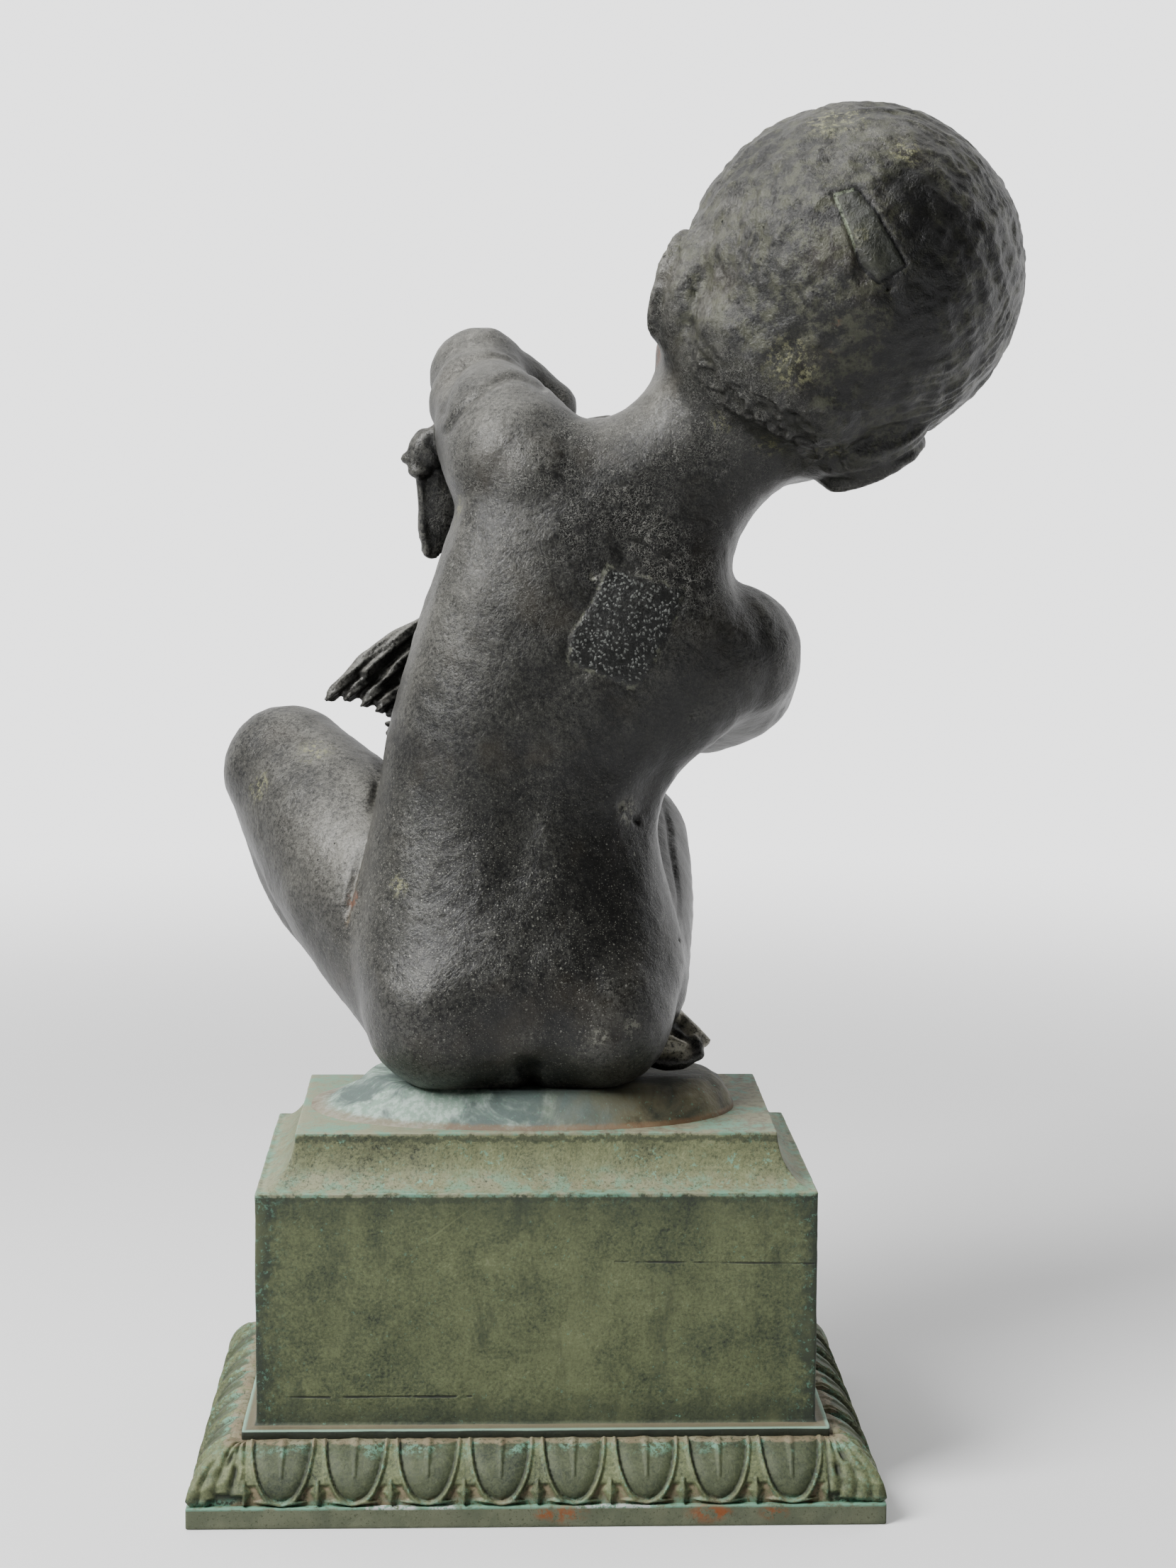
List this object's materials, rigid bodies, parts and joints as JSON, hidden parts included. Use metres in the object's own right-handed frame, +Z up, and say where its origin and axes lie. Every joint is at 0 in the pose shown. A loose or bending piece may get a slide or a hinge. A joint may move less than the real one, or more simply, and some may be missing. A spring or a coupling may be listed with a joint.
{
  "type": "fountain statue",
  "caption": "Cast bronze group of a seated child hugging a duck on a low mound, over a rectangular plinth with a hollow-moulded shoulder and a leaf-and-dart border, stood on its flat underside.",
  "frame": {"origin": "centre of the plinth's flat underside", "axes": "+Z up; the group faces -Y, so its back is toward +Y; +X is the child's left"},
  "size_m": [0.4384, 0.3126, 0.73],
  "materials": {
    "green_bronze": "matt olive-green patina with paler verdigris on edges and ledges",
    "black_bronze": "dark grey-black patina, low sheen, pitted"
  },
  "bodies": {
    "root": {"plinth": "green_bronze", "seated_child_with_duck": "black_bronze"}
  },
  "joints": []
}
